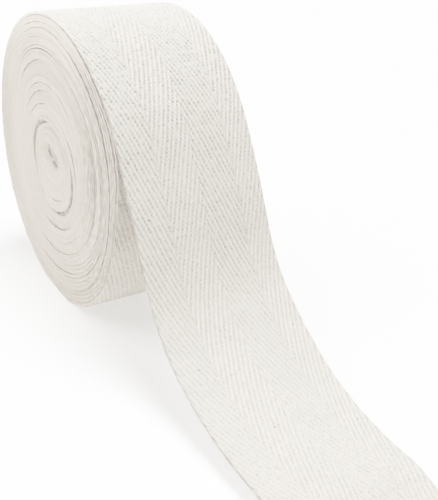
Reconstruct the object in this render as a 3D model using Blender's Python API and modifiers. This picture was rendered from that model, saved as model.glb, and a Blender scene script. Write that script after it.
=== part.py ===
"""A roll of herringbone twill tape, with its loose end run out over the table.

Metres, +Z up. The roll's axis lies along X. The origin is the centre of the small flat spot
that the roll stands on, and the loose end runs down the front and out towards -Y.
Angles are in degrees in the YZ plane, from the front of the roll (-Y) up over its top.
"""
import math

import bmesh
import bpy
from mathutils import Vector

MM = 0.001

# The tape
TAPE_WIDTH = 50.0 * MM
TAPE_THICKNESS = 1.2 * MM
HALF_WIDTH = TAPE_WIDTH / 2

# The wound roll: its outline grows by one layer from where the loose end lifts off
LIFT_ANGLE = 76.0
UNDER_RADIUS = 52.5 * MM
LAYER_STEP = 1.5 * MM
STEP_SLANT = 1.0
FLAT_HALF_LENGTH = 9.0 * MM
ROLL_COLUMNS = 72

# Dents and swells of the outline: degrees wound on from the lift, and swell in mm
OUTLINE_SWELLS = (
    (0, 0.0),
    (34, -0.2),
    (51, 0.7),
    (63, 0.2),
    (73, -1.2),
    (85, -2.1),
    (102, -2.1),
    (119, -0.6),
    (138, 0.2),
    (166, 0.3),
    (216, 0.5),
    (256, 0.2),
    (291, 0.5),
    (336, -0.3),
    (360, 0.0),
)

# Gaps between turns on each side: radius, width, depth and the ring's centre (back, up) in mm,
# how far the turns inside it are set in, in mm, then the middle and half of its span in degrees
GAP_RINGS = (
    (48.6, 0.9, 1.0, 1.2, 0.0, 0.0, 0, 100),
    (45.0, 1.3, 1.8, 2.6, 0.6, 0.1, 15, 130),
    (39.2, 1.6, 2.4, 3.1, 1.8, 0.1, 40, 125),
    (33.8, 1.4, 1.6, 3.0, 1.6, 0.1, 95, 95),
    (27.6, 1.1, 1.1, 2.6, 1.0, 0.1, 90, 80),
    (23.6, 1.0, 0.9, 2.3, 0.2, 0.0, 95, 80),
)
SPAN_FADE = 30.0

# The core: the first turns are a loose coil, off centre, with a crescent gap on two sides of it
CORE_RADIUS = 16.8 * MM
CORE_BACK = 1.8 * MM
CORE_UP = -2.0 * MM
CRESCENT_WIDTH = 2.7 * MM
CRESCENT_LEAST = 0.3 * MM
CRESCENT_SHIFT = 0.5 * MM
CRESCENT_DEPTH = 4.0 * MM
CRESCENT_ANGLE = 161.0
CORE_SET_IN = 0.3 * MM

# The eye of the roll, where the tape's first fold leaves a small hole
EYE_BACK = 4.4 * MM
EYE_UP = 3.4 * MM
EYE_RADIUS = 2.5 * MM
EYE_DEPTH = 6.0 * MM

# The worn-in edge of the roll's rim
RIM_ROUND = 1.4 * MM

# The loose end while it lies on the roll: angle, radius of its outer face in mm, and how much
# higher its -X edge is than its +X edge, in mm
LIFTING_ROUTE = (
    (75.6, 54.05, 0.0),
    (68.0, 54.15, 0.3),
    (60.0, 54.3, 0.6),
    (50.0, 54.6, 1.0),
    (42.0, 55.05, 1.6),
    (34.0, 55.6, 2.0),
    (25.0, 56.4, 2.0),
    (15.5, 57.9, 1.6),
)

# The loose end once it hangs free: distance in front, height of its upper face, and how much
# higher its -X edge is, in mm
HANGING_ROUTE = (
    (61.0, 59.0, 1.7),
    (65.2, 50.5, 1.7),
    (68.7, 43.4, 1.6),
    (72.8, 36.5, 1.1),
    (77.4, 30.4, 0.2),
    (82.7, 25.3, -0.7),
    (88.5, 20.6, -1.1),
    (95.4, 16.4, -0.8),
    (102.4, 12.8, 0.0),
    (110.5, 9.7, 0.8),
    (120.5, 7.1, 1.6),
    (130.5, 5.7, 2.4),
    (138.5, 5.2, 2.8),
    (144.5, 4.8, 2.0),
    (149.0, 3.7, 1.2),
    (153.0, 2.1, 0.5),
    (156.5, 1.3, 0.1),
    (160.0, 1.2, 0.0),
    (168.0, 1.2, 0.0),
    (177.0, 1.2, 0.0),
)
LOOSE_ROWS = 84
LOOSE_COLUMNS = 6

CLOTH_COLOUR = (0.86, 0.84, 0.80, 1.0)
COLLECTION_NAME = "twill_tape_roll"


def clear_scene():
    for obj in list(bpy.data.objects):
        bpy.data.objects.remove(obj, do_unlink=True)


def make_material(name, colour, roughness):
    material = bpy.data.materials.new(name)
    material.use_nodes = True
    shader = material.node_tree.nodes["Principled BSDF"]
    shader.inputs["Base Color"].default_value = colour
    shader.inputs["Roughness"].default_value = roughness
    shader.inputs["Metallic"].default_value = 0.0
    return material


def smoothstep(t):
    t = min(max(t, 0.0), 1.0)
    return t * t * (3.0 - 2.0 * t)


def eased(table, at):
    """The value at a place in a table of (place, value) rows, eased from row to row."""
    for (start, low), (end, high) in zip(table, table[1:]):
        if at <= end:
            return low + (high - low) * smoothstep((at - start) / (end - start))
    return table[-1][1]


def angle_between(a, b):
    return abs((a - b + 180.0) % 360.0 - 180.0)


def wound_radius(angle):
    """The roll's radius at an angle, along the spiral that starts under the lift."""
    wound_on = (LIFT_ANGLE - angle) % 360.0
    spiral = UNDER_RADIUS + LAYER_STEP * wound_on / 360.0
    return spiral + eased(OUTLINE_SWELLS, wound_on) * MM


def centre_height():
    """Height of the roll's centre that leaves a flat spot of the named length under it."""
    return math.sqrt(wound_radius(-90.0) ** 2 - FLAT_HALF_LENGTH**2)


CENTRE_HEIGHT = centre_height()


def on_roll(angle, radius, back=0.0, up=0.0):
    """(y, z) of a point at an angle and radius round a centre set off from the roll's own."""
    turn = math.radians(angle)
    return back - radius * math.cos(turn), CENTRE_HEIGHT + up + radius * math.sin(turn)


def plain_ring(radius, set_in, back, up):
    return lambda angle: (radius, set_in, back, up)


def gap_ring(row, radius_share, depth_share, set_in):
    """One ring of points of a gap: a lip or its floor, faded out past the gap's span."""
    radius, width, depth, back, up, _, middle, half_span = row

    def ring(angle):
        past = angle_between(angle, middle) - half_span
        strength = 1.0 - smoothstep((past + SPAN_FADE) / SPAN_FADE)
        ring_radius = (radius + radius_share * width) * MM
        return ring_radius, set_in + depth_share * depth * strength * MM, back * MM, up * MM

    return ring


def crescent_ring(width_share, depth_share, set_in):
    """One ring of points of the crescent gap round the core."""

    def ring(angle):
        opening = math.cos(math.radians(angle - CRESCENT_ANGLE)) ** 2
        width = CRESCENT_LEAST + (CRESCENT_WIDTH - CRESCENT_LEAST) * opening
        depth = depth_share * CRESCENT_DEPTH * opening
        back = CORE_BACK + max(width_share, 0.0) * CRESCENT_SHIFT
        return CORE_RADIUS + width_share * width, set_in + depth, back, CORE_UP

    return ring


def side_rings():
    """The rings of one side face, from the rim in. Each gives, for an angle, its radius, how
    far it lies in from the side, and its centre (back, up)."""
    rings = [
        lambda angle: (wound_radius(angle), RIM_ROUND, 0.0, 0.0),
        lambda angle: (wound_radius(angle) - 0.3 * RIM_ROUND, 0.3 * RIM_ROUND, 0.0, 0.0),
        lambda angle: (wound_radius(angle) - RIM_ROUND, 0.0, 0.0, 0.0),
    ]
    set_in = 0.0
    for row in GAP_RINGS:
        rings.append(gap_ring(row, 0.5, 0.0, set_in))
        rings.append(gap_ring(row, 0.0, 1.0, set_in))
        set_in += row[5] * MM
        rings.append(gap_ring(row, -0.5, 0.0, set_in))
    rings.append(crescent_ring(1.0, 0.0, set_in))
    rings.append(crescent_ring(0.8, 1.0, set_in))
    rings.append(crescent_ring(0.1, 1.0, set_in))
    core_in = CORE_SET_IN + set_in
    rings.append(crescent_ring(-0.1, 0.0, core_in))
    middle_back = (CORE_BACK + EYE_BACK) / 2
    middle_up = (CORE_UP + EYE_UP) / 2
    rings.append(plain_ring(CORE_RADIUS * 0.55, core_in, middle_back, middle_up))
    rings.append(plain_ring(EYE_RADIUS, core_in, EYE_BACK, EYE_UP))
    rings.append(plain_ring(EYE_RADIUS * 0.7, core_in + EYE_DEPTH, EYE_BACK, EYE_UP))
    rings.append(plain_ring(0.0, core_in + EYE_DEPTH, EYE_BACK, EYE_UP))
    return rings


def link(obj, collection, material):
    collection.objects.link(obj)
    obj.data.materials.clear()
    obj.data.materials.append(material)


def evaluated_mesh(obj):
    bpy.context.view_layer.update()
    graph = bpy.context.evaluated_depsgraph_get()
    return bpy.data.meshes.new_from_object(obj.evaluated_get(graph), depsgraph=graph)


def turned_blank(rings):
    """A plain turned drum whose rings stand in for those of the roll: the profile of one side,
    the rim and the other side, turned round the X axis by a Screw modifier."""
    count = len(rings)
    spacing = UNDER_RADIUS / (count - 1)
    profile = [(HALF_WIDTH, spacing * i) for i in range(count)]
    profile += [(-HALF_WIDTH, spacing * i) for i in reversed(range(count))]
    mesh = bpy.data.meshes.new("blank_profile")
    edges = [(i, i + 1) for i in range(len(profile) - 1)]
    mesh.from_pydata([(x, 0.0, r) for x, r in profile], edges, [])
    blank = bpy.data.objects.new("blank_profile", mesh)
    bpy.context.scene.collection.objects.link(blank)
    screw = blank.modifiers.new("Screw", "SCREW")
    screw.axis = "X"
    screw.steps = ROLL_COLUMNS
    screw.render_steps = ROLL_COLUMNS
    screw.use_merge_vertices = True
    screw.merge_threshold = 0.00001
    turned = evaluated_mesh(blank)
    bpy.data.objects.remove(blank, do_unlink=True)
    return turned, spacing


def column_angle(column):
    """The angle of a column of points. The last stands close behind the first, and the outline's
    step of one layer lies between the two."""
    return LIFT_ANGLE - column * (360.0 - STEP_SLANT) / (ROLL_COLUMNS - 1)


def make_wound_roll(collection, material):
    rings = side_rings()
    mesh, spacing = turned_blank(rings)
    last = len(rings) - 1
    for vertex in mesh.vertices:
        x, y, z = vertex.co
        ring = rings[last - round(math.hypot(y, z) / spacing)]
        turned_by = math.degrees(math.atan2(y, z)) % 360.0
        column = round(turned_by * ROLL_COLUMNS / 360.0) % ROLL_COLUMNS
        angle = column_angle(column)
        radius, set_in, back, up = ring(angle)
        new_y, new_z = on_roll(angle, radius, back, up)
        side = math.copysign(HALF_WIDTH - set_in, x)
        vertex.co = Vector((side, new_y, max(new_z, 0.0)))
    bm = bmesh.new()
    bm.from_mesh(mesh)
    bmesh.ops.recalc_face_normals(bm, faces=bm.faces)
    bm.to_mesh(mesh)
    bm.free()
    mesh.name = "wound_roll"
    roll = bpy.data.objects.new("wound_roll", mesh)
    link(roll, collection, material)
    mesh.shade_smooth()
    mesh.set_sharp_from_angle(angle=math.radians(35))
    return roll


def loose_route():
    """Points of the loose end's outer face, as (y, z) and edge lift, in metres."""
    route = []
    for angle, radius, lift in LIFTING_ROUTE:
        y, z = on_roll(angle, radius * MM)
        route.append(Vector((y, z, lift * MM)))
    for front, height, lift in HANGING_ROUTE:
        route.append(Vector((-front * MM, height * MM, lift * MM)))
    return route


def spline_point(points, at):
    """A point of the Catmull-Rom curve through the given points, at 0 to len(points) - 1."""
    i = min(int(at), len(points) - 2)
    t = at - i
    p1, p2 = points[i], points[i + 1]
    p0 = points[i - 1] if i > 0 else 2 * p1 - p2
    p3 = points[i + 2] if i + 2 < len(points) else 2 * p2 - p1
    a = 2 * p1
    b = p2 - p0
    c = 2 * p0 - 5 * p1 + 4 * p2 - p3
    d = 3 * p1 - p0 - 3 * p2 + p3
    return 0.5 * (a + b * t + c * t * t + d * t**3)


def even_route(points, rows):
    """The curve through the points, as rows + 1 points at equal steps of its length."""
    fine_per_span = 24
    spans = len(points) - 1
    fine = [spline_point(points, i / fine_per_span) for i in range(spans * fine_per_span + 1)]
    reach = [0.0]
    for a, b in zip(fine, fine[1:]):
        reach.append(reach[-1] + (b.xy - a.xy).length)
    even = []
    j = 0
    for row in range(rows + 1):
        goal = reach[-1] * row / rows
        while j < len(fine) - 2 and reach[j + 1] < goal:
            j += 1
        share = (goal - reach[j]) / (reach[j + 1] - reach[j])
        even.append(fine[j].lerp(fine[j + 1], share))
    return even


def make_loose_end(collection, material):
    even = even_route(loose_route(), LOOSE_ROWS)
    bm = bmesh.new()
    bmesh.ops.create_grid(bm, x_segments=LOOSE_COLUMNS, y_segments=LOOSE_ROWS, size=0.5)
    for vertex in bm.verts:
        row = round((vertex.co.y + 0.5) * LOOSE_ROWS)
        across = vertex.co.x
        here = even[row]
        run = even[min(row + 1, LOOSE_ROWS)] - even[max(row - 1, 0)]
        outward = Vector((run.y, -run.x)).normalized()
        lift = -across * here.z
        y = here.x + lift * outward.x
        z = here.y + lift * outward.y
        vertex.co = Vector((across * TAPE_WIDTH, y, z))
    bm.normal_update()
    bm.faces.ensure_lookup_table()
    if bm.faces[len(bm.faces) // 2].normal.z < 0.0:
        bmesh.ops.reverse_faces(bm, faces=bm.faces)
    mesh = bpy.data.meshes.new("loose_end")
    bm.to_mesh(mesh)
    bm.free()
    loose = bpy.data.objects.new("loose_end", mesh)
    link(loose, collection, material)
    solidify = loose.modifiers.new("Solidify", "SOLIDIFY")
    solidify.thickness = TAPE_THICKNESS
    solidify.offset = -1.0
    solidify.use_even_offset = True
    mesh.shade_smooth()
    return loose


def main():
    clear_scene()
    collection = bpy.data.collections.new(COLLECTION_NAME)
    bpy.context.scene.collection.children.link(collection)
    make_wound_roll(collection, make_material("roll_cloth", CLOTH_COLOUR, 0.9))
    make_loose_end(collection, make_material("loose_end_cloth", CLOTH_COLOUR, 0.9))


main()
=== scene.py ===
"""Looks of the roll of herringbone twill tape: the wound turns, the loose end, and the stage.

Lengths in the shape code are millimetres and become metres where a mesh is made. Angles are
degrees in the YZ plane, from the front of the roll (-Y) up over its top, as in the CAD part.
A place on the winding, u, is given in turns in from where the loose end lifts off. A pair of
values named RADII or TURNS gives where something starts to rise, and over how much it does.
"""
import math
from functools import partial, reduce

import bmesh
import bpy
import numpy as np
from mathutils import Matrix, Vector


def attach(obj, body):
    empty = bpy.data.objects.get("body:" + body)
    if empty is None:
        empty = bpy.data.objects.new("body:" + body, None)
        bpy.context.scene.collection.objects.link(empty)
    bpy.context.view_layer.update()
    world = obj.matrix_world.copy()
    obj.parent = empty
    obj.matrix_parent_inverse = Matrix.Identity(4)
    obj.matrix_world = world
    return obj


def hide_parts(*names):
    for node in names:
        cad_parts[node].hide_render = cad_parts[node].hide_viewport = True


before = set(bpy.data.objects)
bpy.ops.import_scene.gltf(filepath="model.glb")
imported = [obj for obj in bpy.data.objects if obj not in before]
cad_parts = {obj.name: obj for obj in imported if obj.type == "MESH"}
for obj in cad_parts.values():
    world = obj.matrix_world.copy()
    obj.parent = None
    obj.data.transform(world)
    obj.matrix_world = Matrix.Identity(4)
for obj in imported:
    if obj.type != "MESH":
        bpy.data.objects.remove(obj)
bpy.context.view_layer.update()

MM = 0.001

# The tape
HALF_WIDTH = 25.0
THICKNESS = 1.2

# The outline of the roll, as in the CAD part: degrees from the lift on over the front, swell
LIFT_ANGLE = 76.0
CENTRE_HEIGHT = 52.87
OUTLINE_SWELLS = np.array((
    (0, 0.0), (34, -0.2), (51, 0.7), (63, 0.2), (73, -1.2), (85, -2.1), (102, -2.1),
    (119, -0.6), (138, 0.2), (166, 0.3), (216, 0.5), (256, 0.2), (291, 0.5), (336, -0.3),
    (360, 0.0),
))
SWELL_TURNS = 6.0

# The turns, and the least and most of their thickness
OUTER_RADIUS = 54.05
TURN_PITCH = 1.3
PITCH_INSIDE = 1.25
TURNS = 41.475
TURN_THICKNESSES = (0.7, 2.4)

# The flat spot that the roll stands on
BOTTOM_ANGLE = 270.0
BOTTOM_TURN = (BOTTOM_ANGLE - LIFT_ANGLE) / 360.0
FLAT_REACH = 40.0
FLAT_SPACING = 1.16

# Distances between the rows of the turns: the longest, and the shortest with its growth by radius
LONGEST_STEP = 2.0
SHORTEST_STEP = 0.15
STEP_BY_RADIUS = 0.22

# How the centre of the turns moves as they get smaller: radius, back, up
CENTRES = np.array((
    (0.0, 1.6, 2.2), (3.0, 1.6, 2.0), (9.0, 1.6, 0.0), (16.8, 1.8, -2.0), (23.6, 2.3, 0.2),
    (27.6, 2.6, 1.0), (33.8, 3.0, 1.6), (39.2, 3.1, 1.8), (45.0, 2.3, 0.6), (50.0, 1.0, 0.0),
    (54.05, 0.0, 0.0),
))

# Gaps between turns: radius, opening, middle of its span, half span, turns that take it up, and
# the middle and half span of the part that shows
GAPS = (
    (48.6, 0.35, -10, 60, 5, 10, 50),
    (45.0, 0.35, -5, 70, 6, -20, 50),
    (39.2, 0.42, 40, 125, 7, 104, 52),
    (39.2, 0.9, 0, 75, 7, 0, 0),
)
SPAN_FADE = 30.0
GAP_SHOWN = 0.5

# The opening at which a gap parts the edges beside it, the one at which it rounds them most, and
# how round they are then
CLEAR_GAP = 0.2
WIDE_GAP = 1.2
GAP_ROUND = 0.5

# Seams between turns that show on the side face: a point on the seam (back, up), half its span
# in degrees, how round its two edges are, and how far the turns inside it are set in
SEAMS = (
    (-5.2, 52.1, 40, 0.34, 0.12),
    (1.0, 50.4, 38, 0.38, 0.22),
    (3.1, 47.4, 36, 0.42, 0.25),
    (-1.0, 45.0, 34, 0.34, 0.18),
    (3.5, 41.4, 45, 0.42, 0.20),
    (7.3, 35.9, 55, 0.45, 0.45),
    (5.2, 28.4, 45, 0.40, 0.32),
    (10.5, 24.2, 50, 0.44, 0.42),
    (10.5, 19.7, 45, 0.38, 0.30),
    (-17.5, 6.7, 25, 0.34, 0.15),
    (-41.3, -5.2, 45, 0.36, 0.20),
    (-46.0, -5.2, 60, 0.34, -0.15),
    (-50.2, -1.0, 60, 0.34, -0.20),
    (-36.0, 20.0, 35, 0.22, 0.15),
    (-33.0, 33.0, 35, 0.20, -0.12),
    (-26.2, -38.2, 35, 0.36, -0.25),
    (-19.9, -38.2, 30, 0.34, 0.20),
    (-22.0, -29.3, 35, 0.30, 0.25),
    (-3.1, -34.5, 35, 0.26, 0.25),
    (-5.2, -29.3, 35, 0.24, -0.20),
    (-1.0, -42.9, 30, 0.26, 0.25),
    (-5.2, -24.5, 35, 0.24, 0.15),
    (-21.5, 5.0, 25, 0.18, 0.05),
    (-2.6, -14.0, 30, 0.16, 0.12),
)

# The step of the search for a seam, in turns, and the share of its span that shows in full
SEAM_SEARCH_STEP = 0.002
SEAM_FULL_SHARE = 0.4

# How round the edges are where no seam shows, how uneven all edges are, the most they are round
# by thickness, and where the middle of a rounding lies
PLAIN_SEAM = 0.01
RAGGED = 0.5
RAGGED_LENGTH = 5.0
RAGGED_RATES = (0.61, 1.07, 1.73, 2.9)
ROUND_LIMIT = 0.45
ROUND_MIDDLE = 0.3

# How deep a seam's valley is for its width, and how deep the groove under a turn is at least,
# past its edge and by the opening, and how much deeper at its far side
VALLEY_SHARE = 0.5
GROOVE = 0.08
GROOVE_PAST_EDGE = 0.03
GROOVE_BY_OPENING = 0.1
GROOVE_SLOPE = 0.4

# How far in from its edge the first column of a turn lies
FIRST_COLUMN = 1.0

# How far a seam's step moves the turns outside it (-) and inside it (+), by turns from the seam
STEP_SHARES = (
    (-3, -0.05), (-2, -0.18), (-1, -0.40), (0, -0.70), (1, 0.75), (2, 0.55), (3, 0.30), (4, 0.12),
)

# Parts of the side face: middle, reach to each side, and the degrees over which it fades
BACK = (185.0, 25.0, 45.0)
FRONT = (-8.0, 35.0, 50.0)
WORN_FRONT = (-8.0, 40.0, 40.0)
RIDGED_TOP = (100.0, 40.0, 60.0)
BENT_OUTSIDE = (175.0, 35.0, 30.0)
BENT_INSIDE = (-10.0, 40.0, 30.0)
CORE_TOP = (65.0, 25.0, 35.0)

# At the back the turns near the rim lie further in, and on the front the outer turns do, past a
# step: radius, set in
BACK_SET_IN = np.array(((30.0, 0.0), (46.0, 1.3), (51.5, 0.1), (54.0, 0.0), (60.0, 0.0)))
FRONT_SET_IN = np.array((
    (0.0, 0.0), (31.5, 0.0), (38.5, 1.5), (44.0, 1.2), (49.0, 0.7), (52.0, 0.35), (55.0, 0.3),
))

# The worn turns on the front: how round their edges are, where they begin, and how worn they are
FRONT_EDGE = 0.30
WORN_RADII = (36.0, 2.0)
WORN_LEVEL = 0.6
WORN_UNEVEN = 0.5

# Soft ridges of every second turn over the top of the side face, and a ripple all over it
RIDGE = 0.10
RIDGE_RADII = (16.0, 3.0)
RIDGE_WANDER = 1.5
RIDGE_WANDER_TURNS = 9.0
SIDE_RIPPLE = 0.15
RIM_TURNS = (1.0, 1.5)

# The crescent gap round the core
CRESCENT_RADIUS = 17.4
CRESCENT_OPENING = 2.3
CRESCENT_ANGLE = 161.0
CRESCENT_TURNS = 10

# How far in the turns next to the crescent gap bend, and the top of the core's rim slopes
CRESCENT_BEND = 0.6
CORE_SLOPE = 0.9
BEND_TURNS = 3.5

# The first turns lie round a slit that opens at its two ends, and further in than the others
SLIT_ANGLE = 157.0
SLIT_LONGER = 4.4
SLIT_UNEVEN = 0.22
SLIT_FADE_RADIUS = 15.0
SLIT_ROUND_TURNS = (TURNS - 1.3, 0.3)
HOLLOW = 1.0
HOLLOW_RADII = (1.5, 4.0)

# The start of the tape, tucked into the slit: its ends from the slit's middle, how far in it lies
# along the slit, and the profile of its edge (depth, how far in)
TUCK_ENDS = (-6.4, 7.0)
TUCK_ROWS = 15
TUCK_SET_IN = np.array(((-6.4, 1.0), (-4.2, 1.2), (-1.0, 1.0), (2.0, 1.1), (4.5, 1.5), (7.0, 1.2)))
TUCK_EDGE = np.array(((0.0, 1.2), (0.4, 0.3), (1.7, 0.0), (3.7, 0.0), (5.0, 0.3), (5.4, 1.2)))

# How the near edge of the outer turns follows the loose end as it lifts: angle, rise
EDGE_RISES = np.array((
    (-20.0, 0.0), (-5.0, 0.0), (5.0, 0.6), (15.0, 1.5), (25.0, 1.9), (32.0, 1.8), (41.0, 1.3),
    (49.0, 0.7), (61.0, 0.3), (76.0, 0.0), (400.0, 0.0),
))
EDGE_RISE_TURNS = 5.0

# The loose end: (angle, radius, edge lift) on the roll, then (front, height, edge lift)
LIFTING_ROUTE = (
    (68.0, 54.15, 0.3), (60.0, 54.3, 0.6), (50.0, 54.6, 1.0), (42.0, 55.05, 1.6),
    (34.0, 55.6, 2.0), (25.0, 56.4, 2.0), (15.5, 57.9, 1.6),
)
HANGING_ROUTE = (
    (61.0, 59.0, 1.7), (65.2, 50.5, 1.7), (68.7, 43.4, 1.6), (72.8, 36.5, 1.1),
    (77.4, 30.4, 0.2), (82.7, 25.3, -0.7), (88.5, 20.6, -1.1), (95.4, 16.4, -0.8),
    (102.4, 12.8, 0.0), (110.5, 9.7, 0.8), (120.5, 7.1, 1.6), (130.5, 5.7, 2.4),
    (138.5, 5.2, 2.8), (144.5, 4.8, 2.0), (149.0, 3.7, 1.2), (153.0, 2.1, 0.5),
    (156.5, 1.3, 0.1), (160.0, 1.2, 0.0), (168.0, 1.2, 0.0), (177.0, 1.2, 0.0),
)
ROUTE_STEP = 4.0
POINTS_PER_SPAN = 24

# Its mesh: where its rows begin to be close, its columns, and where it still lies on the roll its
# thickness and its clearance
CLOSE_FROM = 150.2
FACE_COLUMNS = 148
UNDER_COLUMNS = 12
WOUND_THICKNESSES = (0.9, 1.6)
WOUND_CLEARANCE = 0.01

# Its edges: width of the rounding above, and below on the roll and off it, the depths of the
# edge's columns by thickness, and the scallops
EDGE_ROUND = 0.5
UNDER_ROUNDS = (0.12, 0.45)
SHOULDER_IN = 0.15
EDGE_DEPTHS = (0.18, 0.5, 0.82)
SCALLOP = 0.11
SCALLOP_UNEVEN = 0.09
SCALLOP_LENGTH = 4.0

# Where the columns of the meshes lie across the tape, for their cloth. The weave ends at
# FACE_ENDS, and past it lie the columns of an edge
FACE_ENDS = (24.6, 25.0)
TURN_EDGE_UV = (-24.0, -24.7, -24.9, -25.2, -25.6, -26.0, -26.3, -26.6)
TURN_UNDER_UV = (-24.5, -24.0, 22.0, 24.2)
TURN_GROOVE_UV = 24.8
LOOSE_EDGE_UV = (25.1, 25.5, 25.9)
LOOSE_UNDER_UV = 26.4

# The weave: four columns of ribs that slant in turn, the picks across them, and the ends along
FOLDS = (-12.5, 1.2, 14.9)
RIB_ACROSS = 1.67
RIB_ALONG = 4.9
PICK = 1.23
END = 0.4175
RIB_DEPTH = 0.30
RIB_SHARPNESS = 1.3
HOLE_DEPTH = 0.20

# How clear the weave of the loose end is, over the top, where a painted highlight pales the
# cloth and fades the painted shade and tone of its weave, and lower down, where it is also
# painted in shade: the start and the end of the change along the tape, and how clear it is
# before and after
WEAVE_UNDER_TOP_HIGHLIGHT = (150.0, 200.0, 0.5, 1.0)
LOWER_SHOWS = (205.0, 290.0, 1.0, 0.4)

# Noise textures in the cloth: scale, detail, roughness
WANDER_NOISE = (0.45, 2.0, 0.6)
YARN_NOISE = (1.9, 3.0, 0.6)
FUZZ_NOISE = (2.6, 4.0, 0.6)
BLOTCH_NOISE = (0.09, 2.0, 0.5)
MOTTLE_NOISE = (1.15, 2.0, 0.6)
STREAK_NOISE = (0.95, 3.0, 0.7)

# How far the weave wanders across and along, and how the yarn and the streaks are drawn out
WANDERS = (0.7, 0.9)
YARN_STRETCH = (1.0, 0.16, 1.0)
STREAK_STRETCH = (1.9, 0.24, 1.0)

# How the holes differ from one to the next: the share of chance in one, and what all have, and
# the chance above which a hole is a dark speck. Each column of ribs has its own cells of chance
HOLE_CHANCE = (1.6, 0.2)
SPECK_CHANCE = 0.998
CELLS_A_COLUMN = 1000.0

# Parts of the side face that get painted light and shade: axis, start and end, and its share at
# both. The front, which also gets streaks, is painted lighter, the back painted darker as shade,
# and the top painted lighter as light from above, with painted shade below it
SIDE_PARTS = {
    "front": (1, -17.0, -34.0, 0.15, 1.0),
    "back": (1, 40.0, 52.0, 0.0, 1.0),
    "top": (2, 86.0, 104.0, 0.1, -0.35),
}

# How much each part of the pattern raises the cloth, in mm, and how much darker it makes it, or
# lighter below 0. The valleys, holes and crown shading, the painted top highlight and painted lower
# shade, the streaks, and the front, back and top of the side faces are painted light and shade;
# the yarn, mottle, blotches, fuzz and specks are the cloth's own tone
RAISED = {"ends": 0.012, "fuzz": 0.09, "yarn": 0.12, "mottle": 0.30, "streaks": 0.8}
DARKENED = {
    "valleys": 0.19, "painted top highlight": -0.9, "crown shading": 0.3, "specks": 0.35, "painted lower shade": 0.25,
    "yarn": 0.3, "mottle": -0.9, "blotches": 0.12, "fuzz": 0.15, "streaks": -3.3, "front": -0.12,
    "back": 0.22, "top": 1.0,
}
HOLE_BY_RIB = 0.7

# Relief of the ribs in mm and the painted shade in the holes, of the turns and of the loose end
TURNS_CLOTH = (0.13, 0.3)
LOOSE_CLOTH = (0.11, 0.6)

COTTON = (0.895, 0.862, 0.812, 1.0)
# The colour the cloth goes towards where it is darker, both for its own tone and specks and for painted
# shade, and away from where it is painted lighter
COTTON_DARK_TONE_AND_SHADE = (0.62, 0.595, 0.555, 1.0)
SIDE_TINT = (1.0, 0.978, 0.960, 1.0)
WHITE = (1.0, 1.0, 1.0, 1.0)
CLOTH_SURFACE = {
    "Roughness": 0.92, "Specular IOR Level": 0.15, "Sheen Weight": 0.15, "Sheen Roughness": 0.5,
}

# The stage
FLOOR_REACH = 4.0
PAPER_SURFACE = {
    "Base Color": (0.75, 0.75, 0.75, 1.0), "Emission Color": WHITE, "Emission Strength": 0.38,
    "Roughness": 1.0, "Specular IOR Level": 0.0,
}
STUDIO_LIGHT = {"Color": WHITE, "Strength": 0.22}

# The lights: name, where it comes from, strength, spread in degrees
LIGHTS = (
    ("key", (0.2, -0.1, 1.0), 2.2, 35),
    ("side", (-0.7, 0.2, 1.0), 1.05, 45),
    ("front", (0.2, -1.0, 0.7), 0.13, 35),
)

# Where the wandering values start
SEEDS = {"ridges": 12, "ripple": 5, "wear": 31, "edges": 21, "scallops": 41}

# The camera: its place, its right and the way it looks
CAMERA_PLACE = (-0.1310, -0.2707, 0.16597)
CAMERA_RIGHT = (0.8447, -0.5331, 0.0485)
CAMERA_LOOKS = (0.4942, 0.7419, -0.4532)
LENS = 60.36
SENSOR_WIDTH = 36.0

# How bright light is shown, so that white cloth keeps its weave: light, shown
WHITE_LEVEL = 1.5
SHOULDER = (
    (0.25, 0.25), (0.5, 0.5), (0.7, 0.70), (0.85, 0.82), (1.0, 0.91), (1.15, 0.965), (1.3, 0.99),
)


def smoothstep(t):
    t = np.clip(t, 0.0, 1.0)
    return t * t * (3.0 - 2.0 * t)


def rising(value, start, over):
    """Eases from 0 at the start to 1, over that much more."""
    return smoothstep((value - start) / over)


def fading(away, reach):
    """1 at no distance, down to 0 at the reach."""
    return np.clip(1.0 - away / reach, 0.0, 1.0)


def eased(table, at):
    """Values of a table of (place, value) rows, eased from row to row."""
    i = np.clip(np.searchsorted(table[:, 0], at, side="right") - 1, 0, len(table) - 2)
    start, end = table[i], table[i + 1]
    share = smoothstep((at - start[..., 0]) / (end[..., 0] - start[..., 0]))
    return start[..., 1] + (end[..., 1] - start[..., 1]) * share


def apart(a, b):
    """Degrees between two angles."""
    return np.abs((a - b + 180.0) % 360.0 - 180.0)


def near(angle, middle, reach, fade):
    """1 within reach of an angle, easing to 0 past it."""
    return 1.0 - rising(apart(angle, middle), reach, fade)


def in_span(angle, middle, half_span):
    """1 in a span of angles, easing to 0 at its two ends."""
    return near(angle, middle, half_span - SPAN_FADE, SPAN_FADE)


def noise(at, seed, rates=(0.37, 0.83, 1.31, 1.93, 2.71)):
    """A smooth wandering value of about -1 to 1 along the tape."""
    rng = np.random.default_rng(seed)
    total = np.zeros_like(at)
    for rate in rates:
        total = total + np.sin(2 * np.pi * (rate * at + rng.random())) / math.sqrt(len(rates))
    return total


def gap_turn(radius, closed_angle):
    """The place on the winding nearest a radius at an angle."""
    share = ((closed_angle - LIFT_ANGLE) / 360.0) % 1.0
    turns = 1.0 + (OUTER_RADIUS - TURN_PITCH - radius) / PITCH_INSIDE
    return round(turns - share) + share


def crescent(angle):
    """The place on the winding where the crescent gap starts, and its opening at an angle."""
    at = gap_turn(CRESCENT_RADIUS, CRESCENT_ANGLE + 90.0)
    return at, CRESCENT_OPENING * np.cos(np.radians(angle - CRESCENT_ANGLE)) ** 2


def plain_radius(u):
    return OUTER_RADIUS - PITCH_INSIDE * u


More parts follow.
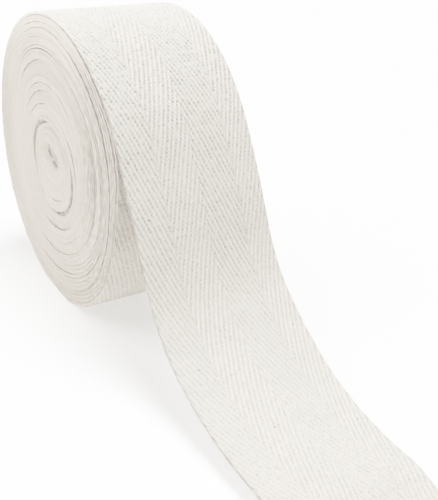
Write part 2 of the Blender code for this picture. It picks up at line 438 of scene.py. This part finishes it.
def winding(u):
    """(y, z) of the outer face at u, and its angle."""
    angle = LIFT_ANGLE + 360.0 * u
    nominal = OUTER_RADIUS - TURN_PITCH * np.minimum(u, 1.0) - PITCH_INSIDE * np.maximum(u - 1.0, 0.0)
    swell = eased(OUTLINE_SWELLS, (LIFT_ANGLE - angle) % 360.0)
    radius = nominal + swell * fading(u - 1.0, SWELL_TURNS)
    for ring, opening, middle, half_span, turns, _, _ in GAPS:
        at = gap_turn(ring, middle + 180.0)
        open_here = opening * in_span(angle, middle, half_span)
        radius -= open_here * np.where(u > at, fading(u - at, turns), 0.0)
    at, open_here = crescent(angle)
    radius += open_here * np.where(u < at, fading(at - u, CRESCENT_TURNS), 0.0)
    along = np.cos(np.radians(angle - SLIT_ANGLE))
    longer = SLIT_LONGER * fading(nominal, SLIT_FADE_RADIUS)
    radius += longer * along**2 * (1.0 + SLIT_UNEVEN * along)
    back, up = (np.interp(nominal, CENTRES[:, 0], CENTRES[:, i]) for i in (1, 2))
    turn = np.radians(angle)
    y = back - radius * np.cos(turn)
    z = CENTRE_HEIGHT + up + radius * np.sin(turn)
    turns_below = np.round(np.maximum(u - BOTTOM_TURN, 0.0))
    flat = apart(angle, BOTTOM_ANGLE) < FLAT_REACH
    z = np.where(flat, np.maximum(z, FLAT_SPACING * turns_below), z)
    return np.stack([y, z], axis=-1), angle


def seams():
    """Each shown seam: the place of its middle, half its span in turns, and its other values."""
    u = np.arange(0.0, TURNS, SEAM_SEARCH_STEP)
    points, _ = winding(u + 1.0)
    found = []
    for back, up, half_span, edge, step in SEAMS:
        off = np.linalg.norm(points - np.array([back, CENTRE_HEIGHT + up]), axis=1)
        found.append((u[np.argmin(off)], half_span / 360.0, edge, step))
    return found


def seam_values(u, found):
    """How round the seam under the turn at u is, how much it shows, and its step."""
    edge = np.full_like(u, PLAIN_SEAM)
    shown = np.zeros_like(u)
    step = np.zeros_like(u)
    for at, half_span, shown_edge, shown_step in found:
        share = 1.0 - rising(np.abs(u - at) / half_span, SEAM_FULL_SHARE, 1.0 - SEAM_FULL_SHARE)
        edge = np.maximum(edge, shown_edge * share)
        shown = np.maximum(shown, share)
        step += shown_step * share
    worn = front_wear(u)
    return np.maximum(edge, FRONT_EDGE * worn), np.maximum(shown, worn), step


def side_level(u, found):
    """How far in from the side the turn at u lies."""
    level = np.zeros_like(u)
    for turns, share in STEP_SHARES:
        level += share * seam_values(u - turns, found)[2]
    points, angle = winding(np.maximum(u, 0.0))
    radius = np.linalg.norm(points - np.array([0.0, CENTRE_HEIGHT]), axis=1)
    nominal = plain_radius(u)
    level += near(angle, *BACK) * eased(BACK_SET_IN, radius)
    level += near(angle, *FRONT) * eased(FRONT_SET_IN, nominal)
    ridge_wave = np.cos(np.pi * u + RIDGE_WANDER * noise(u / RIDGE_WANDER_TURNS, SEEDS["ridges"]))
    ridges = RIDGE * near(angle, *RIDGED_TOP) * ridge_wave * rising(nominal, *RIDGE_RADII)
    level += rising(u, *RIM_TURNS) * (ridges + SIDE_RIPPLE * noise(u, SEEDS["ripple"]))
    at, _ = crescent(angle)
    outside = np.where(u < at, fading(at - u, BEND_TURNS), 0.0)
    inside = np.where(u >= at, fading(u - at, BEND_TURNS), 0.0)
    level += CRESCENT_BEND * outside * near(angle, *BENT_OUTSIDE)
    level += CRESCENT_BEND * inside * near(angle, *BENT_INSIDE)
    level += CORE_SLOPE * inside * near(angle, *CORE_TOP)
    return level + HOLLOW * (1.0 - rising(nominal, *HOLLOW_RADII))


def front_wear(u):
    """How much the turns on the front of the side face show their own edges."""
    front = near(LIFT_ANGLE + 360.0 * u, *WORN_FRONT)
    outer = rising(plain_radius(u), *WORN_RADII)
    worn = np.clip(WORN_LEVEL + WORN_UNEVEN * noise(u, SEEDS["wear"]), 0.0, 1.0)
    return front * outer * worn


def gap_under(u):
    """The opening left under the turn at u."""
    angle = LIFT_ANGLE + 360.0 * u
    left = np.zeros_like(u)
    for ring, opening, middle, half_span, _, shown_middle, shown_span in GAPS:
        at = gap_turn(ring, middle + 180.0)
        open_here = opening * in_span(angle, middle, half_span)
        open_here = open_here * in_span(angle, shown_middle, shown_span)
        left += np.where((u < at) & (u + 1.0 >= at), GAP_SHOWN * open_here, 0.0)
    at, open_here = crescent(angle)
    return left + np.where((u < at) & (u + 1.0 >= at), open_here, 0.0)


def lengths(points):
    """How far along the points each of them is."""
    steps = np.linalg.norm(np.diff(points, axis=0), axis=1)
    return np.concatenate([[0.0], np.cumsum(steps)])


def left_of(points):
    """Unit normals on the left of the way along the points. The tape's outer face is on the right."""
    run = np.gradient(points, axis=0)
    run /= np.linalg.norm(run, axis=1, keepdims=True)
    return np.stack([-run[:, 1], run[:, 0]], axis=-1)


def rib_phase(x, s):
    """Which rib a place is on. The ribs of neighbouring columns meet half a rib apart."""
    fold = -np.abs(x - FOLDS[0]) + np.abs(x - FOLDS[1]) - np.abs(x - FOLDS[2])
    shifted = (x > FOLDS[0]).astype(float) - (x > FOLDS[1]) + (x > FOLDS[2])
    return fold / RIB_ACROSS - s / RIB_ALONG + 0.5 * shifted


def relief(x, s):
    """How deep the outer face of the loose end lies at a place, from the top of its ribs."""
    valley = 0.5 - 0.5 * np.cos(2 * np.pi * rib_phase(x, s))
    pick = 0.5 + 0.5 * np.cos(2 * np.pi * s / PICK)
    shows = np.interp(s, LOWER_SHOWS[:2], LOWER_SHOWS[2:])
    return RIB_DEPTH * valley**RIB_SHARPNESS + HOLE_DEPTH * shows * valley**2 * pick


def signed_volume(coords, quads):
    """Six times the volume inside the quads, below 0 where they face inwards."""
    a, b, c, d = (coords[quads[:, i]] for i in range(4))
    return float(np.sum(np.cross(a, b) * c) + np.sum(np.cross(a, c) * d))


def build_strip(name, points, normals, xs, depths, uv_from, uv_to, s, lift=0.0):
    """A closed strip along the points. xs and depths give the loop of points round it, by row.

    uv_from and uv_to say where each side of the loop starts and ends across the tape, for its
    cloth, and s where each row is along the tape. The lift tilts a row: its near edge goes up.
    """
    rows, cols = depths.shape
    offset = -depths - (xs / (2 * HALF_WIDTH)) * lift
    y = points[:, 0:1] + normals[:, 0:1] * offset
    z = points[:, 1:2] + normals[:, 1:2] * offset
    coords = np.stack([xs, y, z], axis=-1).reshape(-1, 3) * MM
    row = np.arange(rows - 1)[:, None] * cols
    here = np.arange(cols)[None, :]
    beside = (here + 1) % cols
    quads = [row + here, row + beside, row + cols + beside, row + cols + here]
    quads = np.stack(quads, axis=-1).reshape(-1, 4)
    caps = [list(range(cols))[::-1], [(rows - 1) * cols + i for i in range(cols)]]
    mesh = bpy.data.meshes.new(name)
    mesh.from_pydata(coords.tolist(), [], quads.tolist() + caps)
    near_u, far_u, near_s, far_s = (
        np.broadcast_to(values, (rows - 1, cols))
        for values in (uv_from, uv_to, s[:-1, None], s[1:, None])
    )
    sides = np.stack([near_u, near_s, far_u, near_s, far_u, far_s, near_u, far_s], axis=-1)
    start_cap = np.stack([uv_from[::-1], np.full(cols, s[0])], axis=-1)
    end_cap = np.stack([uv_from, np.full(cols, s[-1])], axis=-1)
    uv = np.concatenate([sides.reshape(-1, 2), start_cap, end_cap])
    mesh.uv_layers.new(name="Weave").data.foreach_set("uv", uv.ravel())
    mesh.update()
    if signed_volume(coords, quads) < 0:
        mesh.flip_normals()
    mesh.shade_smooth()
    obj = bpy.data.objects.new(name, mesh)
    bpy.context.scene.collection.objects.link(obj)
    return obj


def turn_places():
    """Places on the winding for the rows of the turns, from the core out, closer where it curves."""
    places = [BOTTOM_TURN]
    while places[-1] < TURNS:
        radius = plain_radius(places[-1])
        step = min(LONGEST_STEP, STEP_BY_RADIUS * radius + SHORTEST_STEP)
        places.append(places[-1] + step / (2 * math.pi * radius))
    return np.array(places)[::-1]


def edge_of_turn(seam_at, beside, level, found, ragged, thick, open_end=0.0):
    """How round an edge of the turns is, how far in the rounding goes, and the edge's level.

    The seam at the edge lies under the turn at seam_at, and past it is the turn at beside.
    """
    edge, shown, _ = seam_values(seam_at, found)
    gap = gap_under(seam_at)
    wide = np.maximum(np.clip(gap / WIDE_GAP, 0.0, 1.0), open_end)
    edge = np.maximum(edge, GAP_ROUND * wide)
    rounding = np.clip(edge * (1.0 + RAGGED * ragged), PLAIN_SEAM, ROUND_LIMIT * thick)
    shown = np.maximum(shown, np.clip(gap / CLEAR_GAP, 0.0, 1.0))
    edge_level = level + 0.5 * (1.0 - shown) * (side_level(beside, found) - level)
    return rounding[:, None], (rounding * (VALLEY_SHARE + wide))[:, None], edge_level[:, None]


def make_wound_turns():
    """The tape's turns as one spiral strip, each with its own edge on the two side faces."""
    u = turn_places()
    points, angle = winding(u)
    inner_points, _ = winding(u + 1.0)
    normals = -left_of(points)
    spacing = np.abs(np.sum((points - inner_points) * normals, axis=1))
    opening = gap_under(u)
    full = np.clip(spacing, *TURN_THICKNESSES)
    thick = np.clip(full - opening, *TURN_THICKNESSES)
    s = lengths(points)
    found = seams()
    level = side_level(u, found)
    ragged = noise(s / RAGGED_LENGTH, SEEDS["edges"], RAGGED_RATES)
    outer, outer_in, outer_level = edge_of_turn(u - 1.0, u - 1.0, level, found, ragged, thick)
    inner, inner_in, inner_level = edge_of_turn(
        u, u + 1.0, level, found, np.roll(ragged, 3), thick, rising(u, *SLIT_ROUND_TURNS))
    level, full, thick, opening = (values[:, None] for values in (level, full, thick, opening))
    groove = GROOVE + GROOVE_BY_OPENING * (opening + opening**2)
    groove = np.maximum(inner_in + GROOVE_PAST_EDGE, groove)
    edge = np.full_like(thick, -HALF_WIDTH)
    near_x = [
        edge + FIRST_COLUMN, edge + outer_in, edge + ROUND_MIDDLE * outer_in, edge, edge, edge,
        edge + ROUND_MIDDLE * inner_in, edge + inner_in, edge + groove,
        edge + GROOVE_SLOPE + groove,
    ]
    near_depth = [
        0 * thick, 0 * thick, ROUND_MIDDLE * outer, outer, 0.5 * thick, thick - inner,
        thick - ROUND_MIDDLE * inner, thick, thick, full,
    ]
    xs = np.concatenate(near_x + [-x for x in near_x[::-1]], axis=1)
    depths = np.concatenate(near_depth + near_depth[::-1], axis=1)
    down = np.clip(depths / thick, 0.0, 1.0)
    bulge = level - 0.5 * (outer_level + inner_level)
    shift = outer_level + down * (inner_level - outer_level) + bulge * 4.0 * down * (1.0 - down)
    xs = xs - shift * np.sign(xs)
    rise = eased(EDGE_RISES, (angle + 180.0) % 360.0 - 180.0) * fading(u - 1.0, EDGE_RISE_TURNS)
    depths = depths - rise[:, None] * np.clip(-xs / HALF_WIDTH, 0.0, 1.0) ** 2
    uv_from = np.array(TURN_EDGE_UV + TURN_UNDER_UV + tuple(-x for x in TURN_EDGE_UV[::-1]))
    uv_to = np.roll(uv_from, -1)
    uv_from[len(TURN_EDGE_UV) - 1] = -TURN_GROOVE_UV
    uv_to[-len(TURN_EDGE_UV) - 1] = TURN_GROOVE_UV
    return build_strip("wound_turns", points, normals, xs, depths, uv_from, uv_to, s)


def make_tuck():
    """The start of the tape, tucked into the slit of the first turn."""
    _, back, up = CENTRES[0]
    turn = math.radians(SLIT_ANGLE)
    reach = np.linspace(*TUCK_ENDS, TUCK_ROWS)
    y = back - reach * math.cos(turn)
    z = CENTRE_HEIGHT + up + reach * math.sin(turn)
    points = np.stack([y, z], axis=-1)
    normals = left_of(points)
    depth, inward = TUCK_EDGE.T
    points = points + normals * 0.5 * depth[-1]
    near_x = inward - (HALF_WIDTH - eased(TUCK_SET_IN, reach))[:, None]
    xs = np.concatenate([near_x, -near_x[:, ::-1]], axis=1)
    depths = np.tile(np.concatenate([depth, depth[::-1]]), (TUCK_ROWS, 1))
    uv = np.linspace(TURN_EDGE_UV[0], -TURN_EDGE_UV[0], xs.shape[1])
    return build_strip("tuck", points, normals, xs, depths, uv, np.roll(uv, -1), lengths(points))


def join(first, second):
    """Adds the second mesh to the first."""
    bm = bmesh.new()
    bm.from_mesh(first.data)
    bm.from_mesh(second.data)
    bm.to_mesh(first.data)
    bm.free()
    bpy.data.objects.remove(second, do_unlink=True)
    return first


def spline(points, per_span):
    """Points of the Catmull-Rom curve through the given ones."""
    p = np.array(points)
    p = np.concatenate([[2 * p[0] - p[1]], p, [2 * p[-1] - p[-2]]])
    t = (np.arange(per_span) / per_span)[:, None]
    parts = []
    for p0, p1, p2, p3 in zip(p, p[1:], p[2:], p[3:]):
        a, b = 2 * p1, p2 - p0
        c, d = 2 * p0 - 5 * p1 + 4 * p2 - p3, 3 * p1 - p0 - 3 * p2 + p3
        parts.append(0.5 * (a + b * t + c * t**2 + d * t**3))
    return np.concatenate(parts + [p[-2:-1]])


def loose_route():
    """(y, z, lift) of the outer face from under the roll to the cut end, and the places on the roll."""
    places = np.append(np.arange(BOTTOM_TURN, 0.0, -ROUTE_STEP / 360.0), 0.0)
    route = [(y, z, 0.0) for y, z in winding(places)[0]]
    for angle, radius, lift in LIFTING_ROUTE:
        turn = math.radians(angle)
        route.append((-radius * math.cos(turn), CENTRE_HEIGHT + radius * math.sin(turn), lift))
    route += [(-front, height, lift) for front, height, lift in HANGING_ROUTE]
    return spline(route, POINTS_PER_SPAN), places


def make_loose_tape():
    """The last half turn and the loose end as one tape, and its length."""
    route, places = loose_route()
    reach = lengths(route[:, :2])
    total = reach[-1]
    coarse = np.arange(0, int(CLOSE_FROM / PICK)) * PICK
    s = np.concatenate([coarse, np.arange(coarse[-1] + PICK, total, PICK / 2), [total]])
    y, z, lift = (np.interp(s, reach, values) for values in route.T)
    points = np.stack([y, z], axis=-1)
    normals = -left_of(points)
    lift_at = POINTS_PER_SPAN * (len(places) - 1)
    wound = s < reach[lift_at]
    place = np.interp(s, reach[: lift_at + 1: POINTS_PER_SPAN], places)
    inner_points, _ = winding(place + 1.0)
    spacing = np.sum((points - inner_points) * normals, axis=1)
    wound_thick = np.clip(spacing - WOUND_CLEARANCE, *WOUND_THICKNESSES)
    thick = np.where(wound, wound_thick, THICKNESS)[:, None]
    face_end = HALF_WIDTH - EDGE_ROUND
    face_x = np.linspace(-face_end, face_end, FACE_COLUMNS)
    under_x = np.linspace(face_end, -face_end, UNDER_COLUMNS)
    face = np.broadcast_to(face_x, (len(s), FACE_COLUMNS))
    uneven = SCALLOP_UNEVEN * noise(s / SCALLOP_LENGTH, SEEDS["scallops"])
    scallop = (SCALLOP * np.cos(2 * np.pi * s / PICK) + uneven)[:, None]
    under_round = np.where(wound, *UNDER_ROUNDS)[:, None]
    edge_x = [
        HALF_WIDTH - SHOULDER_IN + scallop * 0.5,
        HALF_WIDTH + scallop,
        HALF_WIDTH - ROUND_MIDDLE * under_round + scallop * 0.5,
    ]
    edge_depth = [share * thick for share in EDGE_DEPTHS]
    under = under_x * ((HALF_WIDTH - under_round) / face_end)
    under_depth = np.repeat(thick, UNDER_COLUMNS, axis=1)
    xs = np.concatenate([face, *edge_x, under, *(-x for x in edge_x[::-1])], axis=1)
    depths = [relief(face, s[:, None]), *edge_depth, under_depth, *edge_depth[::-1]]
    depths = np.concatenate(depths, axis=1)
    edge_uv = np.array(LOOSE_EDGE_UV)
    uv_from = np.concatenate([face_x, edge_uv, [LOOSE_UNDER_UV], under_x[1:], -edge_uv[::-1]])
    uv_to = np.roll(uv_from, -1)
    uv_from[FACE_COLUMNS + len(edge_uv)] = under_x[0]
    lift = lift[:, None]
    tape = build_strip("loose_tape", points, normals, xs, depths, uv_from, uv_to, s, lift)
    return tape, total


def node(tree, kind, inputs=(), **settings):
    """Adds a node. An input is another node's output or a plain value."""
    made = tree.nodes.new(kind)
    for key, value in settings.items():
        setattr(made, key, value)
    for key, value in dict(inputs).items():
        if isinstance(value, bpy.types.NodeSocket):
            tree.links.new(value, made.inputs[key])
        else:
            made.inputs[key].default_value = value
    return made


def maths(tree, operation, *values):
    return node(tree, "ShaderNodeMath", dict(enumerate(values)), operation=operation).outputs[0]


def product(tree, *values):
    return reduce(partial(maths, tree, "MULTIPLY"), values)


def centred(tree, value):
    return maths(tree, "SUBTRACT", value, 0.5)


def wave(tree, value, length):
    """A cosine wave of that length."""
    return maths(tree, "COSINE", maths(tree, "MULTIPLY", value, 2 * math.pi / length))


def ramp(tree, value, start, end, before, after, kind="LINEAR"):
    inputs = dict(enumerate((value, start, end, before, after)))
    return node(tree, "ShaderNodeMapRange", inputs, interpolation_type=kind).outputs[0]


def texture(tree, vector, scale, detail, roughness):
    """The value and the colour of a noise texture."""
    inputs = {"Vector": vector, "Scale": scale, "Detail": detail, "Roughness": roughness}
    return node(tree, "ShaderNodeTexNoise", inputs).outputs


def drawn_out(tree, vector, by):
    return node(tree, "ShaderNodeVectorMath", {0: vector, 1: by}, operation="MULTIPLY").outputs[0]


def parts_of(tree, vector):
    return node(tree, "ShaderNodeSeparateXYZ", {0: vector}).outputs


def mixed(tree, share, first, second, **settings):
    """A colour between two, by share."""
    inputs = {0: share, 6: first, 7: second}
    return node(tree, "ShaderNodeMix", inputs, data_type="RGBA", **settings).outputs[2]


def weighted(tree, values, shares):
    """The sum of the values, each times its share."""
    total = 0.0
    for key, share in shares.items():
        total = maths(tree, "MULTIPLY_ADD", values[key], share, total)
    return total


def set_inputs(shader, values):
    for key, value in values.items():
        shader.inputs[key].default_value = value


def herringbone(tree, x, s):
    """How far into the valley beside its rib a place is, how near to a pick, and its hole's chance."""
    calc = partial(maths, tree)
    folds = [calc("ABSOLUTE", calc("SUBTRACT", x, fold)) for fold in FOLDS]
    fold = calc("SUBTRACT", calc("SUBTRACT", folds[1], folds[0]), folds[2])
    phase = calc("SUBTRACT", calc("DIVIDE", fold, RIB_ACROSS), calc("DIVIDE", s, RIB_ALONG))
    past = [calc("GREATER_THAN", x, fold) for fold in FOLDS]
    shifted = calc("ADD", calc("SUBTRACT", past[0], past[1]), past[2])
    phase = calc("MULTIPLY_ADD", shifted, 0.5, phase)
    valley = calc("MULTIPLY_ADD", wave(tree, phase, 1.0), -0.5, 0.5)
    pick = calc("MULTIPLY_ADD", wave(tree, s, PICK), 0.5, 0.5)
    column = calc("ADD", calc("ADD", past[0], past[1]), past[2])
    cell = node(tree, "ShaderNodeCombineXYZ", {
        0: calc("MULTIPLY_ADD", column, CELLS_A_COLUMN, calc("FLOOR", phase)),
        1: calc("ROUND", calc("DIVIDE", s, PICK)),
    }).outputs[0]
    chance = node(tree, "ShaderNodeTexWhiteNoise", {"Vector": cell}, noise_dimensions="2D").outputs[0]
    return valley, pick, chance


def side_parts(tree, side):
    """How much a place on the side faces belongs to each of their parts."""
    place = parts_of(tree, node(tree, "ShaderNodeTexCoord").outputs["Object"])
    shares = {}
    for key, (axis, *values) in SIDE_PARTS.items():
        at = maths(tree, "MULTIPLY", place[axis], 1.0 / MM)
        shares[key] = product(tree, ramp(tree, at, *values, "SMOOTHSTEP"), side)
    return shares


def cloth_material(name, rib_height, hole_shade, shows=()):
    """Cotton twill: ribs, picks and yarn as fine relief, painted darker in the hollows as shade.

    shows gives the changes along the tape in how clear its weave is, over the top, where it
    gets a painted highlight, and lower down, where it gets painted shade.
    """
    material = bpy.data.materials.new(name)
    material.use_nodes = True
    tree = material.node_tree
    calc, times, centre = (partial(made, tree) for made in (maths, product, centred))
    weave = node(tree, "ShaderNodeUVMap", uv_map="Weave").outputs[0]
    across, along, _ = parts_of(tree, weave)
    wander_x, wander_s, _ = parts_of(tree, texture(tree, weave, *WANDER_NOISE)["Color"])
    x = calc("MULTIPLY_ADD", centre(wander_x), WANDERS[0], across)
    s = calc("MULTIPLY_ADD", centre(wander_s), WANDERS[1], along)
    on_face = ramp(tree, calc("ABSOLUTE", across), *FACE_ENDS, 1.0, 0.0)
    # How much a place on the side faces lies in each part that gets painted light and shade
    at = side_parts(tree, calc("SUBTRACT", 1.0, on_face))
    # How much of the weave shows under the painted highlight over the top of the roll, and lower down
    weave_under_top_highlight, lower_shows = [ramp(tree, s, *change) for change in shows] or (1.0, 1.0)
    clear = times(weave_under_top_highlight, lower_shows)

    valley, pick, chance = herringbone(tree, x, s)
    # Painted highlight on the rib crowns at each pick, and painted shade between the picks
    crown = times(calc("SUBTRACT", 1.0, valley), calc("SUBTRACT", 0.5, pick), on_face, clear)
    # The holes: lower in the bump, and painted darker as shade
    hole = times(valley, valley, pick, calc("MULTIPLY_ADD", chance, *HOLE_CHANCE), on_face)
    speck = times(hole, calc("GREATER_THAN", chance, SPECK_CHANCE))
    hole = times(hole, clear)
    # The valleys beside the ribs: lower in the bump, and painted darker as shade
    valley = times(valley, on_face)

    fuzz = texture(tree, weave, *FUZZ_NOISE)[0]
    blotch = texture(tree, weave, *BLOTCH_NOISE)[0]
    yarn = texture(tree, drawn_out(tree, weave, YARN_STRETCH), *YARN_NOISE)[0]
    mottle = times(centre(texture(tree, weave, *MOTTLE_NOISE)[0]), on_face)
    # Streaks on the front of the side faces: raised in the bump, and painted lighter on their crests
    # and darker in their troughs as light and shade
    streak = texture(tree, drawn_out(tree, weave, STREAK_STRETCH), *STREAK_NOISE)[0]
    streak = times(centre(streak), at["front"])

    raised = {
        "valleys": valley, "holes": hole, "ends": times(wave(tree, x, END), on_face),
        "fuzz": fuzz, "yarn": yarn, "mottle": mottle, "streaks": streak,
    }
    heights = {"valleys": -rib_height, "holes": -rib_height * HOLE_BY_RIB, **RAISED}
    height = weighted(tree, raised, heights)
    bump = node(tree, "ShaderNodeBump", {"Strength": 1.0, "Distance": MM, "Height": height})
    # Painted shade in the valleys and holes, painted light and shade on the crowns, along the loose end
    # and on the side faces, and the cloth's own tone
    darkened = {
        "valleys": times(valley, weave_under_top_highlight), "holes": hole, "crown shading": crown, "specks": speck,
        # Painted shade lower down the loose end
        "painted top highlight": calc("SUBTRACT", 1.0, weave_under_top_highlight), "painted lower shade": calc("SUBTRACT", 1.0, lower_shows),
        "yarn": times(centre(yarn), clear), "mottle": times(mottle, clear),
        "blotches": centre(blotch), "fuzz": centre(fuzz), "streaks": streak, **at,
    }
    dark = weighted(tree, darkened, {"holes": hole_shade, **DARKENED})
    colour = mixed(tree, dark, COTTON, COTTON_DARK_TONE_AND_SHADE, clamp_factor=False)
    tint = mixed(tree, on_face, SIDE_TINT, WHITE)
    colour = mixed(tree, 1.0, colour, tint, blend_type="MULTIPLY")
    shader = tree.nodes["Principled BSDF"]
    tree.links.new(colour, shader.inputs["Base Color"])
    tree.links.new(bump.outputs[0], shader.inputs["Normal"])
    set_inputs(shader, CLOTH_SURFACE)
    return material


def make_stage():
    mesh = bpy.data.meshes.new("floor")
    corners = [(x * FLOOR_REACH, y * FLOOR_REACH, 0) for x, y in ((-1, -1), (1, -1), (1, 1), (-1, 1))]
    mesh.from_pydata(corners, [], [(0, 1, 2, 3)])
    floor = bpy.data.objects.new("floor", mesh)
    bpy.context.scene.collection.objects.link(floor)
    paper = bpy.data.materials.new("paper")
    paper.use_nodes = True
    set_inputs(paper.node_tree.nodes["Principled BSDF"], PAPER_SURFACE)
    mesh.materials.append(paper)


def add_sun(name, towards, strength, spread):
    """A soft light from that direction."""
    light = bpy.data.lights.new(name, "SUN")
    light.energy = strength
    light.angle = math.radians(spread)
    obj = bpy.data.objects.new(name, light)
    obj.rotation_mode = "QUATERNION"
    obj.rotation_quaternion = (-Vector(towards)).to_track_quat("-Z", "Y")
    bpy.context.scene.collection.objects.link(obj)


def make_lights():
    world = bpy.data.worlds.new("studio")
    bpy.context.scene.world = world
    world.use_nodes = True
    set_inputs(world.node_tree.nodes["Background"], STUDIO_LIGHT)
    for light in LIGHTS:
        add_sun(*light)
    view = bpy.context.scene.view_settings
    view.view_transform = "Standard"
    view.use_curve_mapping = True
    curve = view.curve_mapping
    curve.white_level = (WHITE_LEVEL,) * 3
    combined = curve.curves[3].points
    for level, shown in SHOULDER:
        combined.new(level / WHITE_LEVEL, shown)
    curve.update()


def make_camera():
    camera = bpy.data.cameras.new("camera")
    camera.sensor_width = SENSOR_WIDTH
    camera.lens = LENS
    obj = bpy.data.objects.new("camera", camera)
    right = Vector(CAMERA_RIGHT).normalized()
    away = -Vector(CAMERA_LOOKS).normalized()
    up = away.cross(right).normalized()
    right = up.cross(away)
    turned = Matrix((right, up, away)).transposed().to_4x4()
    obj.matrix_world = Matrix.Translation(CAMERA_PLACE) @ turned
    bpy.context.scene.collection.objects.link(obj)
    bpy.context.scene.camera = obj


def main():
    turns = join(make_wound_turns(), make_tuck())
    turns.data.materials.append(cloth_material("roll_twill", *TURNS_CLOTH))
    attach(turns, "root")
    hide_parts("wound_roll")
    tape, total = make_loose_tape()
    tape.data.materials.append(cloth_material("loose_twill", *LOOSE_CLOTH, (WEAVE_UNDER_TOP_HIGHLIGHT, LOWER_SHOWS)))
    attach(tape, "root")
    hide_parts("loose_end")
    make_stage()
    make_lights()
    make_camera()


main()
